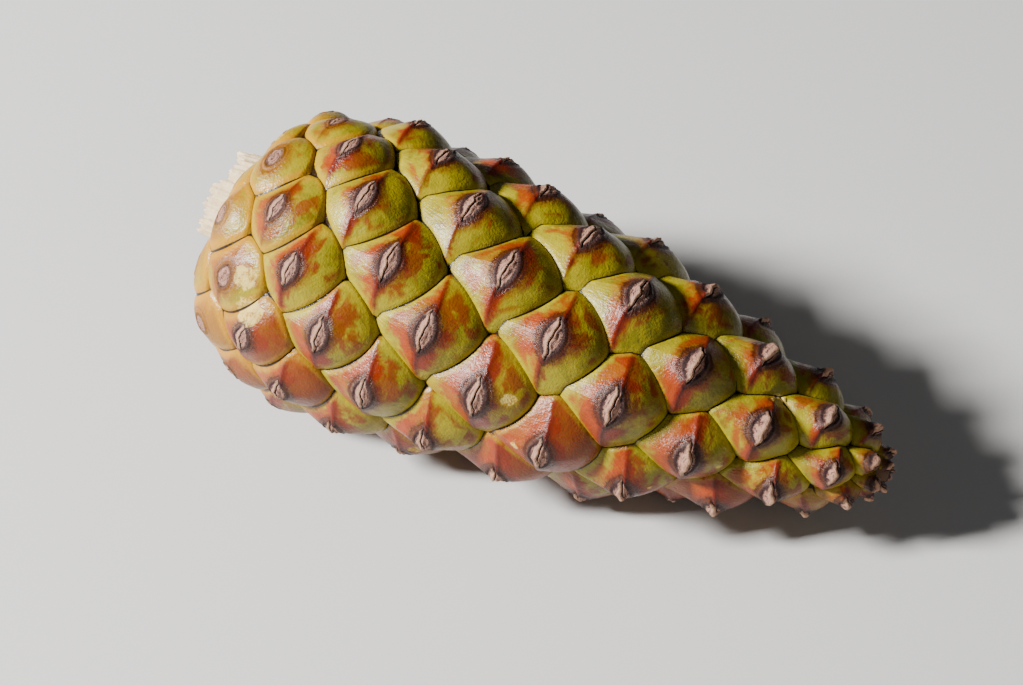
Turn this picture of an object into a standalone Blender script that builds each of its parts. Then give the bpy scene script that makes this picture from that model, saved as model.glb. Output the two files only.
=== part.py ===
"""A closed pine cone lying on its side, picked from the branch: fused scales in two spirals and a torn stalk stub.

Lengths are in metres, +Z is up, and the long axis points along +X to the tip and dips a little towards it.
"""
import math

import bpy
import bmesh
import numpy as np
from mathutils import Matrix, Vector

MM = 0.001

# Turned form over the tops of the scales: distance along the axis and radius, mm, from the stalk end
AXIS_LENGTH = 118.0
PROFILE = (
    (0.0, 0.0), (0.0, 6.0), (1.0, 12.0), (4.5, 20.8), (11.0, 24.0), (22.0, 26.8), (36.0, 26.2),
    (53.0, 24.2), (71.0, 21.9), (88.0, 17.0), (103.0, 11.8), (112.0, 7.8), (116.5, 3.5), (118.0, 0.0),
)
PROFILE_SAMPLES = 400
SLOPE_REACH = 0.8         # mm on either side, over which the slope of the outline is taken
BOW = 2.94                # bulge of the axis to one side, mm
BOW_ANGLE = 45.2          # direction of the bow, degrees from the top towards the front
SLANT = 0.096             # scales sit further along on one side, part of the radius
SLANT_ANGLE = -56.2
END_LEAN = 0.22           # the stalk end leans to the same side by this part of the radius
END_LEAN_REACH = 45.0     # mm along the axis, where the lean has faded out
END_SHIFT = 4.0           # mm, the stalk stands off the middle
END_SHIFT_REACH = 16.0
AXIS_DIP = 7.0            # degrees

# Spiral: scale number and its distance along the turned form, mm
DIVERGENCE = 137.312      # degrees from one scale to the next
FIRST_ANGLE = 305.9       # degrees from the top, of scale number 0
SCALE_STEPS = (
    (-36, 6.3), (-30, 10.0), (-20, 17.6), (0, 34.0), (20, 55.3), (40, 82.8), (54, 105.9),
    (64, 123.2), (72, 135.0), (80, 141.0), (84, 142.0),
)
SCALE_FIRST = -33
SCALE_LAST = 81

# One scale fills the cell between its neighbours in the spirals: sizes as parts of that cell
WIDTH_SHARE = 1.17
TIP_SHARE = 1.0
BASE_SHARE = 1.3
WIDEST_ANGLE = 0.8        # radians, half a scale round the axis
HEIGHT_BY_NUMBER = ((-36, 0.9), (-22, 1.4), (-8, 2.2), (5, 3.2), (30, 4.3), (55, 4.6), (70, 3.2), (84, 1.7))
KEEL_BY_NUMBER = ((-30, 0.0), (-12, 0.25), (5, 0.8), (20, 1.0), (84, 1.0))
ROUND_OUTLINE = (2.1, 1.6)    # exponents of the edge on the tip side and the stalk side, plain scales
KEELED_OUTLINE = (1.9, 1.1)   # the same on keeled scales: nearer a plain corner
DOME_POWER = 2.3
KEEL_SIDE_POWER = 1.4
TIP_START = 0.3           # fall straight after the ridge, part of the whole fall on the tip side
TIP_SLOPE_POWER = 3.0
BASE_SLOPE_POWER = 1.05
EDGE_SINK = 0.5           # mm, how far the edge runs down under its neighbours
SHOULDER = 0.8            # part of the way out to the edge
UMBO_WIDE = 0.27          # half length of the eye, part of the scale's half width
UMBO_TALL = 0.2
UMBO_RISE = 0.5           # mm
ROOT_INSET = 0.55
ROOT_DEPTH = 0.62         # part of the radius
CORNERS = (-90.0, -54.0, -18.0, 18.0, 54.0, 90.0, 180.0)   # degrees round a scale, 0 towards the tip
EYE_CORNERS = (-90.0, 0.0, 90.0, 180.0)

CORE_SINK = 5.4           # mm under the tops of the scales
CORE_SINK_SHARE = 0.42    # at most this part of the radius
CORE_SIDES = 20
CORE_ROWS = 14
CORE_ENDS = (0.6, 117.3)  # mm along the axis

STUB_RADIUS = 8.3
STUB_INNER = 0.9          # mm along the axis where the stub meets the cone
STUB_OUTER = -4.4
STUB_SIDES = 18
STUB_SEED = 7
STUB_LOBES = ((5, 0.0, 0.05), (3, 1.0, 0.04))   # waves round the stub, phase, part of the radius
TORN_EDGE = 1.3           # mm, how far the fibres of the broken end stand up or down
TORN_MIDDLE = 1.0
SOCKET_SIDES = 24
SOCKET_LENGTH = 20.0
GAP = 0.3                 # mm between the stub and the cone
FLAT_CUT = 0.75           # mm, depth of the worn spots that the cone rests on
GROUND_BOX = (200.0, 100.0, 10.0)


def clear_scene():
    for item in list(bpy.data.objects):
        bpy.data.objects.remove(item, do_unlink=True)


def new_collection(name):
    group = bpy.data.collections.new(name)
    bpy.context.scene.collection.children.link(group)
    return group


def plain_material(name, colour, roughness):
    material = bpy.data.materials.new(name)
    material.use_nodes = True
    shader = material.node_tree.nodes["Principled BSDF"]
    shader.inputs["Base Color"].default_value = (*colour, 1.0)
    shader.inputs["Roughness"].default_value = roughness
    return material


def smooth_path(points, count):
    """A smooth curve that runs through each point, spaced by the square root of the chord."""
    points = np.array(points, float)
    knots = np.r_[0, np.cumsum(np.sqrt(np.linalg.norm(np.diff(points, axis=0), axis=1)))]
    ends = np.vstack([2 * points[0] - points[1], points, 2 * points[-1] - points[-2]])
    far = np.r_[-(knots[1] - knots[0]), knots, 2 * knots[-1] - knots[-2]]
    at = np.linspace(0, knots[-1], count)
    span = np.clip(np.searchsorted(knots, at, side="right") - 1, 0, len(points) - 2)
    t0, t1, t2, t3 = [far[span + i][:, None] for i in range(4)]
    p0, p1, p2, p3 = [ends[span + i] for i in range(4)]
    at = at[:, None]
    a1 = (t1 - at) / (t1 - t0) * p0 + (at - t0) / (t1 - t0) * p1
    a2 = (t2 - at) / (t2 - t1) * p1 + (at - t1) / (t2 - t1) * p2
    a3 = (t3 - at) / (t3 - t2) * p2 + (at - t2) / (t3 - t2) * p3
    b1 = (t2 - at) / (t2 - t0) * a1 + (at - t0) / (t2 - t0) * a2
    b2 = (t3 - at) / (t3 - t1) * a2 + (at - t1) / (t3 - t1) * a3
    return (t2 - at) / (t2 - t1) * b1 + (at - t1) / (t2 - t1) * b2


CURVE = smooth_path(PROFILE, PROFILE_SAMPLES)
ALONG = np.r_[0, np.cumsum(np.linalg.norm(np.diff(CURVE, axis=0), axis=1))]
STEP_CURVE = smooth_path(SCALE_STEPS, PROFILE_SAMPLES)


def radius_at(along):
    return np.interp(along, ALONG, np.maximum(CURVE[:, 1], 0.0))


def end_lean(x):
    """Lean of the stalk end at a distance on the axis, as a part of the radius."""
    return END_LEAN * np.clip(1 - x / END_LEAN_REACH, 0, 1) ** 2


def bowed(x, angle, radius):
    """Point at a distance on the bowed axis, an angle from the top and a radius, mm."""
    bow = BOW * (1 - (2 * x / AXIS_LENGTH - 1) ** 2)
    shift = END_SHIFT * np.clip(1 - x / END_SHIFT_REACH, 0, 1) ** 2
    turn = math.radians(BOW_ANGLE)
    aside = math.radians(SLANT_ANGLE)
    side = -radius * np.sin(angle) - bow * math.sin(turn) - shift * math.sin(aside)
    up = radius * np.cos(angle) + bow * math.cos(turn) + shift * math.cos(aside)
    return np.stack([x + end_lean(x) * radius * np.cos(angle - aside), side, up], axis=-1)


def place(along, angle, height):
    """Point at a distance along the turned form, at an angle round it and at a height above it, mm."""
    over = along > ALONG[-1]
    along = np.where(over, 2 * ALONG[-1] - along, along)
    angle = np.where(over, angle + math.pi, angle)
    x = np.interp(along, ALONG, CURVE[:, 0])
    radius = radius_at(along)
    ahead = along + SLOPE_REACH
    behind = along - SLOPE_REACH
    dx = np.interp(ahead, ALONG, CURVE[:, 0]) - np.interp(behind, ALONG, CURVE[:, 0])
    dr = radius_at(ahead) - radius_at(behind)
    length = np.hypot(dx, dr)
    return bowed(x - height * dr / length, angle, radius + height * dx / length)


def dip(points):
    """Turn the axis so that the tip is lower, about the middle of the axis."""
    turn = math.radians(AXIS_DIP)
    x = points[:, 0] - AXIS_LENGTH / 2
    z = points[:, 2]
    return np.stack([x * math.cos(turn) + z * math.sin(turn), points[:, 1],
                     z * math.cos(turn) - x * math.sin(turn)], axis=-1) * MM


def round_stalk(x, angle, radius):
    """Point round the stalk, which stands off the middle and leans with the stalk end of the cone, mm."""
    aside = math.radians(SLANT_ANGLE)
    side = -radius * np.sin(angle) - END_SHIFT * math.sin(aside)
    up = radius * np.cos(angle) + END_SHIFT * math.cos(aside)
    return np.stack([x + END_LEAN * radius * np.cos(angle - aside), side, up], axis=-1)


def mesh_object(name, points, faces, group, material):
    mesh = bpy.data.meshes.new(name)
    mesh.from_pydata([tuple(point) for point in points], [], faces)
    mesh.materials.append(material)
    solid = bpy.data.objects.new(name, mesh)
    group.objects.link(solid)
    tidy = bmesh.new()
    tidy.from_mesh(mesh)
    bmesh.ops.recalc_face_normals(tidy, faces=tidy.faces)
    tidy.to_mesh(mesh)
    tidy.free()
    return solid


def loft_faces(turns):
    """Faces of a closed skin: a first point, then rings of points, then a last point.

    Each ring is given by its angles, so a ring may have fewer points than the next.
    """
    faces = [(0, 1 + i, 1 + (i + 1) % len(turns[0])) for i in range(len(turns[0]))]
    low = 1
    for inner, outer in zip(turns, turns[1:]):
        high = low + len(inner)
        i = 0
        for j in range(len(outer)):
            faces.append((low + i % len(inner), high + j, high + (j + 1) % len(outer)))
            ahead = outer[j + 1] if j + 1 < len(outer) else outer[0] + 360
            while i < len(inner):
                step = inner[i + 1] if i + 1 < len(inner) else inner[0] + 360
                if step > ahead + 1:
                    break
                faces.append((low + i, high + (j + 1) % len(outer), low + (i + 1) % len(inner)))
                i += 1
        low = high
    count = len(turns[-1])
    faces += [(low + i, low + count, low + (i + 1) % count) for i in range(count)]
    return faces


def signed_power(value, power):
    return np.sign(value) * np.abs(value) ** power


def outline_powers(keel):
    """Exponents of a scale's edge, tip side first, from round to nearly straight."""
    return [plain + (keeled - plain) * keel for plain, keeled in zip(ROUND_OUTLINE, KEELED_OUTLINE)]


def scale_height(u, v, keel):
    """Height, 0 to 1, of a scale: a ridge across it with a convex tip side and a flat stalk side."""
    towards_tip = u > 0
    tip_power, base_power = outline_powers(keel)
    outline = np.where(towards_tip, tip_power, base_power)
    room = np.clip(1 - np.abs(v) ** outline, 1e-6, 1) ** (1 / outline)
    out = np.clip(np.abs(u) / room, 0, 1)
    rounded = TIP_START * out + (1 - TIP_START) * out ** TIP_SLOPE_POWER
    keeled = np.where(towards_tip, rounded, out ** BASE_SLOPE_POWER)
    fall = out ** DOME_POWER * (1 - keel) + keeled * keel
    side = DOME_POWER + (KEEL_SIDE_POWER - DOME_POWER) * keel
    return (1 - np.abs(v) ** side) * (1 - fall)


def cell_corner(radius, pitch, one, other):
    """Place as far from a scale as from two neighbours, given as steps of the spiral: mm along and round."""
    turn = np.radians((np.array([one, other]) * DIVERGENCE + 180) % 360 - 180)
    beside = np.stack([np.array([one, other]) * pitch, turn * radius], axis=1)
    return np.linalg.solve(beside, (beside ** 2).sum(axis=1) / 2)


def scale_size(radius, pitch):
    """Half width round the axis and reach along the form, mm, from the cell among the neighbours."""
    half = min(cell_corner(radius, pitch, 3, -5)[1], cell_corner(radius, pitch, 8, -5)[1])
    reach = min(cell_corner(radius, pitch, 5, 8)[0], cell_corner(radius, pitch, 13, 8)[0])
    return min(half, WIDEST_ANGLE * radius), reach


def add_scale(number, group, material):
    """One scale with its umbo, its sloping faces and a root that reaches into the core."""
    angle = math.radians(FIRST_ANGLE + DIVERGENCE * number)
    along = np.interp(number, STEP_CURVE[:, 0], STEP_CURVE[:, 1])
    pitch = np.interp(number + 0.5, STEP_CURVE[:, 0], STEP_CURVE[:, 1])
    pitch = 2 * (pitch - along)
    lean = end_lean(np.interp(along, ALONG, CURVE[:, 0]))
    slant = (SLANT - lean) * math.cos(angle - math.radians(SLANT_ANGLE))
    along = along + radius_at(along) * slant
    radius = radius_at(along)
    half, reach = scale_size(radius, pitch)
    high = np.interp(number, *np.array(HEIGHT_BY_NUMBER).T)
    keel = np.interp(number, *np.array(KEEL_BY_NUMBER).T)

    around = np.round(np.cos(np.radians(CORNERS)), 9), np.round(np.sin(np.radians(CORNERS)), 9)
    tip_power, base_power = outline_powers(keel)
    power = np.where(around[0] > 0, 2 / tip_power, 2 / base_power)
    out_u, out_v = signed_power(around[0], power), signed_power(around[1], power)
    eye = np.radians(EYE_CORNERS)
    eye_u = UMBO_TALL * np.round(np.cos(eye), 9)
    eye_v = UMBO_WIDE * np.round(np.sin(eye), 9)

    u = np.r_[0.0, eye_u, SHOULDER * out_u, out_u, ROOT_INSET * out_u, 0.0]
    v = np.r_[0.0, eye_v, SHOULDER * out_v, out_v, ROOT_INSET * out_v, 0.0]
    height = high * (scale_height(u, v, keel) - 1)
    height[0] += UMBO_RISE
    rim = 1 + len(EYE_CORNERS) + len(CORNERS)
    root = rim + len(CORNERS)
    height[rim:root] = -high - EDGE_SINK
    height[root:] = -ROOT_DEPTH * radius
    reach = np.where(u > 0, TIP_SHARE, BASE_SHARE) * reach
    points = place(along + reach * u, angle + WIDTH_SHARE * half / radius * v, height)
    faces = loft_faces((EYE_CORNERS, CORNERS, CORNERS, CORNERS))
    return mesh_object("scale_%d" % (number + 100), dip(points), faces, group, material)


def add_core(group, material):
    """The inside of the cone, which joins the roots of the scales."""
    around = np.arange(CORE_SIDES) * 2 * math.pi / CORE_SIDES
    first, last = [np.interp(x, CURVE[:, 0], ALONG) for x in CORE_ENDS]
    along = np.repeat(np.linspace(first, last, CORE_ROWS), CORE_SIDES)
    angle = np.tile(around, CORE_ROWS)
    points = place(along, angle, -np.minimum(CORE_SINK, CORE_SINK_SHARE * radius_at(along)))
    points = np.vstack([bowed(CORE_ENDS[0], 0, 0), points, bowed(CORE_ENDS[1], 0, 0)])
    return mesh_object("cone", dip(points), loft_faces([np.degrees(around)] * CORE_ROWS), group, material)


def add_stub(group, material):
    """Torn stump of the stalk: a short lobed post whose broken end stands up in fibres."""
    draw = np.random.default_rng(STUB_SEED)
    around = np.arange(STUB_SIDES) * 2 * math.pi / STUB_SIDES
    edge = STUB_RADIUS * (1 + sum(size * np.cos(count * around + phase) for count, phase, size in STUB_LOBES))
    torn = STUB_OUTER + draw.uniform(-TORN_EDGE, TORN_EDGE, STUB_SIDES)
    hollow = torn * 0.5 + draw.uniform(-TORN_MIDDLE, TORN_MIDDLE, STUB_SIDES)
    x = np.r_[STUB_INNER, np.full(STUB_SIDES, STUB_INNER), torn, hollow, STUB_OUTER * 0.55]
    radius = np.r_[0, edge, edge * 0.94, edge * 0.5, 0]
    angle = np.r_[0, around, around, around, 0]
    points = dip(round_stalk(x, angle, radius))
    return mesh_object("stalk_stub", points, loft_faces([np.degrees(around)] * 3), group, material)


def add_socket(group, material):
    """Room for the stub, a gap wider than it on each side."""
    around = np.arange(SOCKET_SIDES) * 2 * math.pi / SOCKET_SIDES
    wide = STUB_RADIUS * (1 + sum(size for count, phase, size in STUB_LOBES)) + GAP
    bottom = STUB_INNER + GAP
    counts = (1, SOCKET_SIDES, SOCKET_SIDES, 1)
    x = np.repeat((bottom, bottom, bottom - SOCKET_LENGTH, bottom - SOCKET_LENGTH), counts)
    radius = np.repeat((0, wide, wide, 0), counts)
    points = dip(round_stalk(x, np.r_[0, around, around, 0], radius))
    return mesh_object("socket_cutter", points, loft_faces([np.degrees(around)] * 2), group, material)


def move_to(item, group):
    for old in list(item.users_collection):
        old.objects.unlink(item)
    group.objects.link(item)


def apply_boolean(target, operation, solver, item=None, items=None):
    step = target.modifiers.new(operation.lower(), "BOOLEAN")
    step.operation = operation
    step.solver = solver
    if items is not None:
        step.operand_type = "COLLECTION"
        step.collection = items
    else:
        step.object = item
    bpy.context.view_layer.update()
    bpy.context.view_layer.objects.active = target
    with bpy.context.temp_override(object=target, active_object=target, selected_objects=[target]):
        bpy.ops.object.modifier_apply(modifier=step.name)


def keep_outer_skin(solid):
    """Remove the small closed pockets left among the roots, and keep the skin with the most faces."""
    tidy = bmesh.new()
    tidy.from_mesh(solid.data)
    left = set(tidy.faces)
    skins = []
    while left:
        front = [left.pop()]
        skin = list(front)
        while front:
            face = front.pop()
            for edge in face.edges:
                for other in edge.link_faces:
                    if other in left:
                        left.remove(other)
                        front.append(other)
                        skin.append(other)
        skins.append(skin)
    skins.sort(key=len)
    for skin in skins[:-1]:
        bmesh.ops.delete(tidy, geom=skin, context="FACES")
    print("pockets removed", len(skins) - 1)
    tidy.to_mesh(solid.data)
    tidy.free()


def clean(solid):
    """Leave plain triangles that face outwards."""
    tidy = bmesh.new()
    tidy.from_mesh(solid.data)
    bmesh.ops.triangulate(tidy, faces=tidy.faces)
    bmesh.ops.recalc_face_normals(tidy, faces=tidy.faces)
    tidy.to_mesh(solid.data)
    tidy.free()


def shift(solid, offset):
    solid.data.transform(Matrix.Translation(offset))


def main():
    clear_scene()
    parts = new_collection("pine_cone")
    cutters = new_collection("cutters")
    scales = new_collection("scales")
    skin = plain_material("cone_skin", (0.33, 0.27, 0.07), 0.45)
    wood = plain_material("torn_wood", (0.75, 0.62, 0.42), 0.8)

    cone = add_core(parts, skin)
    for number in range(SCALE_FIRST, SCALE_LAST + 1):
        add_scale(number, scales, skin)
    apply_boolean(cone, "UNION", "MANIFOLD", items=scales)
    for item in list(scales.objects):
        bpy.data.objects.remove(item, do_unlink=True)
    bpy.data.collections.remove(scales)

    stub = add_stub(parts, wood)
    socket = add_socket(cutters, skin)
    apply_boolean(cone, "DIFFERENCE", "MANIFOLD", item=socket)

    corners = np.array([point.co for point in cone.data.vertices])
    ends = np.array([point.co for point in stub.data.vertices])
    low = corners.min(axis=0)
    high = np.maximum(corners.max(axis=0), ends.max(axis=0))
    left = np.minimum(low, ends.min(axis=0))
    offset = Vector((-(left[0] + high[0]) / 2, -(left[1] + high[1]) / 2, -low[2] - FLAT_CUT * MM))
    print("middle of the axis sits at", [round(value / MM, 3) for value in offset], "mm")
    for solid in (cone, stub, socket):
        shift(solid, offset)

    bpy.ops.mesh.primitive_cube_add(size=1.0)
    ground = bpy.context.object
    ground.name = "ground_cutter"
    sizes = Vector(GROUND_BOX) * MM
    ground.data.transform(Matrix.Translation((0, 0, -sizes.z / 2)) @ Matrix.Diagonal((*sizes, 1)))
    move_to(ground, cutters)
    apply_boolean(cone, "DIFFERENCE", "MANIFOLD", item=ground)
    keep_outer_skin(cone)
    clean(cone)
    clean(stub)
    for cutter in (socket, ground):
        cutter.hide_render = True
        cutter.display_type = "WIRE"
    print("triangles", len(cone.data.polygons), len(stub.data.polygons))


main()
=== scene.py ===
# %% [markdown]
# A closed pine cone, picked green and laid on its side. About a hundred woody scales sit in crossing
# spirals on one axis, pressed shut. Each shows only its outer face, a low diamond with a ridge across it
# and an eye, called the umbo, in the middle. Every surface in this lesson is worked out as a grid of
# points, so that one formula makes all the scales and only its few numbers change from scale to scale.

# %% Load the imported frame
import math

import bpy
import numpy as np
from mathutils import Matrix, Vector


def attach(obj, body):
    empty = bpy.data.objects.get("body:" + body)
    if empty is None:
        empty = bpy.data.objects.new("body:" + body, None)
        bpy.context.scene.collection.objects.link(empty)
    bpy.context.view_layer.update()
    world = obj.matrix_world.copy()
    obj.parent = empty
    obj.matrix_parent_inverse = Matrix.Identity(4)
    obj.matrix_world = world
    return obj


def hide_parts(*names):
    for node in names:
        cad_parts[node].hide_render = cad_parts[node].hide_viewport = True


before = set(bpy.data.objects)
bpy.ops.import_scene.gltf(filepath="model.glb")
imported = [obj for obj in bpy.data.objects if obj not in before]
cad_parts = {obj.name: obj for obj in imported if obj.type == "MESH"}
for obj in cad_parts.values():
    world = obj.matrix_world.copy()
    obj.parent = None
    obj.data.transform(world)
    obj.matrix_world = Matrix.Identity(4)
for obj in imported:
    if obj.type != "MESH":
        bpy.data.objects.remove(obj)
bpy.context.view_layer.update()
MM = 0.001

# %% [markdown]
# The body under the scales is a turned form, like a spindle. Its outline is a handful of points, distance
# along the axis and radius, joined by a smooth curve. Real cones lean a little to one side, so the axis is
# bowed, and the stalk joins the broad end off its middle and at a slant. The whole form is tipped so that
# it lies on its lowest ridges.

# %% The turned form
AXIS_LENGTH = 118.0
AXIS_MIDDLE = (3.823, 1.196, 21.088)
AXIS_DIP = math.radians(7.0)
PROFILE = (
    (0.0, 0.0), (0.0, 6.0), (1.0, 12.0), (4.5, 20.8), (11.0, 24.0), (22.0, 26.8), (36.0, 26.2),
    (53.0, 24.2), (71.0, 21.9), (88.0, 17.0), (103.0, 11.8), (112.0, 7.8), (116.5, 3.5), (118.0, 0.0),
)
BOW = 2.94
BOW_ANGLE = math.radians(45.2)
SLANT = 0.096
SLANT_ANGLE = math.radians(-56.2)
END_LEAN = 0.22
END_LEAN_REACH = 45.0
END_SHIFT = 4.0
END_SHIFT_REACH = 16.0


def smooth_path(points, count=400):
    """A curve through every point: a blend of blends of straight lines, knots spaced by root chord."""
    points = np.array(points, float)
    knots = np.r_[0, np.cumsum(np.sqrt(np.linalg.norm(np.diff(points, axis=0), axis=1)))]
    ends = np.vstack([2 * points[0] - points[1], points, 2 * points[-1] - points[-2]])
    far = np.r_[-(knots[1] - knots[0]), knots, 2 * knots[-1] - knots[-2]]
    at = np.linspace(0, knots[-1], count)
    span = np.clip(np.searchsorted(knots, at, side="right") - 1, 0, len(points) - 2)
    t0, t1, t2, t3 = [far[span + i][:, None] for i in range(4)]
    p0, p1, p2, p3 = [ends[span + i] for i in range(4)]
    at = at[:, None]
    a1 = (t1 - at) / (t1 - t0) * p0 + (at - t0) / (t1 - t0) * p1
    a2 = (t2 - at) / (t2 - t1) * p1 + (at - t1) / (t2 - t1) * p2
    a3 = (t3 - at) / (t3 - t2) * p2 + (at - t2) / (t3 - t2) * p3
    b1 = (t2 - at) / (t2 - t0) * a1 + (at - t0) / (t2 - t0) * a2
    b2 = (t3 - at) / (t3 - t1) * a2 + (at - t1) / (t3 - t1) * a3
    return (t2 - at) / (t2 - t1) * b1 + (at - t1) / (t2 - t1) * b2


CURVE = smooth_path(PROFILE)
SLOPE_REACH = 0.8
ALONG = np.r_[0, np.cumsum(np.linalg.norm(np.diff(CURVE, axis=0), axis=1))]


def radius_at(along):
    """Radius of the outline at a distance along it, mm."""
    return np.interp(along, ALONG, np.maximum(CURVE[:, 1], 0.0))


def axis_at(along):
    """Distance on the axis at a distance along the outline, mm."""
    return np.interp(along, ALONG, CURVE[:, 0])


def place(along, angle, height):
    """Point at a distance along the form, an angle round it and a height over it, all in millimetres.

    The height is measured square to the outline. Past the tip the outline comes back on the far side.
    The result is in metres, with the axis bowed and dipped as the cone lies.
    """
    over = along > ALONG[-1]
    along = np.where(over, 2 * ALONG[-1] - along, along)
    angle = np.where(over, angle + math.pi, angle)
    dx = axis_at(along + SLOPE_REACH) - axis_at(along - SLOPE_REACH)
    dr = radius_at(along + SLOPE_REACH) - radius_at(along - SLOPE_REACH)
    length = np.hypot(dx, dr)
    return lay_down(axis_at(along) - height * dr / length, angle, radius_at(along) + height * dx / length)


def end_lean(x):
    """How much the stalk end leans to one side, as a part of the radius, for a distance on the axis."""
    return END_LEAN * np.clip(1 - x / END_LEAN_REACH, 0, 1) ** 2


def lay_down(x, angle, radius):
    """Turn distance on the axis, angle from the top and radius into metres in the resting pose."""
    bow = BOW * (1 - (2 * x / AXIS_LENGTH - 1) ** 2)
    shift = END_SHIFT * np.clip(1 - x / END_SHIFT_REACH, 0, 1) ** 2
    y = -radius * np.sin(angle) - bow * math.sin(BOW_ANGLE) - shift * math.sin(SLANT_ANGLE)
    z = radius * np.cos(angle) + bow * math.cos(BOW_ANGLE) + shift * math.cos(SLANT_ANGLE)
    x = x + end_lean(x) * radius * np.cos(angle - SLANT_ANGLE) - AXIS_LENGTH / 2
    turned = np.stack([x * math.cos(AXIS_DIP) + z * math.sin(AXIS_DIP), y,
                       z * math.cos(AXIS_DIP) - x * math.sin(AXIS_DIP)], axis=-1)
    points = (turned + np.array(AXIS_MIDDLE)) * MM
    points[..., 2] = np.maximum(points[..., 2], 0.0)
    return points


print("arc from stalk to tip", round(float(ALONG[-1]), 1), "mm")

# %% [markdown]
# The scales grow one after another, each turned by the same angle from the last. That single rule gives
# the crossing spirals. Here each scale gets its number, its place, its size and its character: the scales
# at the stalk are low and round, the middle ones are keeled, and those at the tip are small and sharp. Each
# reaches one cell towards the tip and a third more towards the stalk, where it slips under the next ones.

# %% The spiral
DIVERGENCE = 137.312
FIRST_ANGLE = 305.9
SCALE_STEPS = (
    (-36, 6.3), (-30, 10.0), (-20, 17.6), (0, 34.0), (20, 55.3), (40, 82.8), (54, 105.9),
    (64, 123.2), (72, 135.0), (80, 141.0), (84, 142.0),
)
GREEN_SIDE = -55.0
SCALE_FIRST = -33
SCALE_LAST = 81
WIDTH_SHARE = 1.25
TIP_SHARE = 1.0
BASE_SHARE = 1.3
WIDEST_ANGLE = 0.8
HEIGHT_BY_NUMBER = (
    (-36, 0.9), (-22, 1.4), (-8, 2.2), (5, 3.2), (30, 4.3), (55, 4.6), (70, 3.2), (84, 1.7),
)
KEEL_BY_NUMBER = ((-30, 0.0), (-12, 0.25), (5, 0.8), (20, 1.0), (84, 1.0))
STEP_CURVE = smooth_path(SCALE_STEPS)
draw = np.random.default_rng(118)

number = np.arange(SCALE_FIRST, SCALE_LAST + 1)
angle = np.radians(FIRST_ANGLE + DIVERGENCE * number)
along = np.interp(number, STEP_CURVE[:, 0], STEP_CURVE[:, 1])
pitch = 2 * (np.interp(number + 0.5, STEP_CURVE[:, 0], STEP_CURVE[:, 1]) - along)
along = along + radius_at(along) * (SLANT - end_lean(axis_at(along))) * np.cos(angle - SLANT_ANGLE)
high = np.interp(number, *np.array(HEIGHT_BY_NUMBER).T)
keel = np.interp(number, *np.array(KEEL_BY_NUMBER).T)


def cell_corner(one, other):
    """Place as far from each scale as from two neighbours, steps one and other of the spiral away.

    It solves p . a = |a|^2 / 2 and p . b = |b|^2 / 2 for the corner p, where a and b reach to the
    neighbours.
    """
    steps = np.array([one, other])
    turn = np.radians((steps * DIVERGENCE + 180) % 360 - 180)
    beside = np.stack([pitch[:, None] * steps, radius_at(along)[:, None] * turn], axis=-1)
    return np.linalg.solve(beside, (beside ** 2).sum(axis=-1, keepdims=True) / 2)[..., 0]


half_width = np.minimum(cell_corner(3, -5)[:, 1], cell_corner(8, -5)[:, 1])
half_width = np.minimum(half_width, WIDEST_ANGLE * radius_at(along)) * WIDTH_SHARE
cell_reach = np.minimum(cell_corner(5, 8)[:, 0], cell_corner(13, 8)[:, 0])
tone = draw.uniform(0, 1, len(number))
sunny = 0.5 - 0.5 * np.cos(angle - math.radians(GREEN_SIDE))
blush = np.clip(0.42 + 0.5 * sunny ** 2 + 0.35 * (tone - 0.5), 0, 1)
print("scales", len(number), "widest", round(2 * float(half_width.max()), 1), "mm")

# %% [markdown]
# Patterns that no rule gives, such as the slight waviness of a living surface, come from a few sine waves
# in fixed directions added together. It is smooth, it repeats nowhere on the cone, and it gives the same
# numbers on every run.

# %% Smooth unevenness
WAVES = np.random.default_rng(5).normal(size=(9, 3))
PHASES = np.random.default_rng(6).uniform(0, 2 * math.pi, 9)


def unevenness(points, size):
    """Sum of nine sine waves through space, about -1 to 1, with humps about `size` millimetres apart."""
    turn = points / MM * (2.2 / size)
    return sum(np.sin(turn @ wave + phase) for wave, phase in zip(WAVES, PHASES)) / 4.5


def soft_step(low, high_edge, value):
    """0 below the first value, 1 above the second, with a smooth S between."""
    t = np.clip((value - low) / (high_edge - low), 0, 1)
    return t * t * (3 - 2 * t)


# %% [markdown]
# One scale is a grid of rings round its eye. The outline is a rounded arch towards the tip and a plain
# corner towards the stalk. The height is a ridge across the scale times a slope on each side: full and
# rounded towards the tip, flat towards the stalk. The rings fold under past the edge and close inside.

# %% The form of a scale
ROUND_OUTLINE = (2.1, 1.6)
KEELED_OUTLINE = (1.9, 1.1)
DOME_POWER = 2.3
KEEL_SIDE_POWER = 1.4
TIP_START = 0.3
TIP_SLOPE_POWER = 3.0
BASE_SLOPE_POWER = 1.05
EDGE_SINK = 0.5
COLUMNS = 72
RINGS = np.r_[0.0, np.linspace(0.02, 0.34, 15), np.linspace(0.37, 0.8, 14), np.linspace(0.83, 1.0, 10)]
UNDER = ((0.97, 0.5), (0.88, 1.3), (0.5, 3.0), (0.0, 4.0))


def outline_powers(keel):
    """Exponents of the edge, tip side and stalk side: round on plain scales, nearly straight on keeled."""
    return [plain + (keeled - plain) * keel for plain, keeled in zip(ROUND_OUTLINE, KEELED_OUTLINE)]


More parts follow.
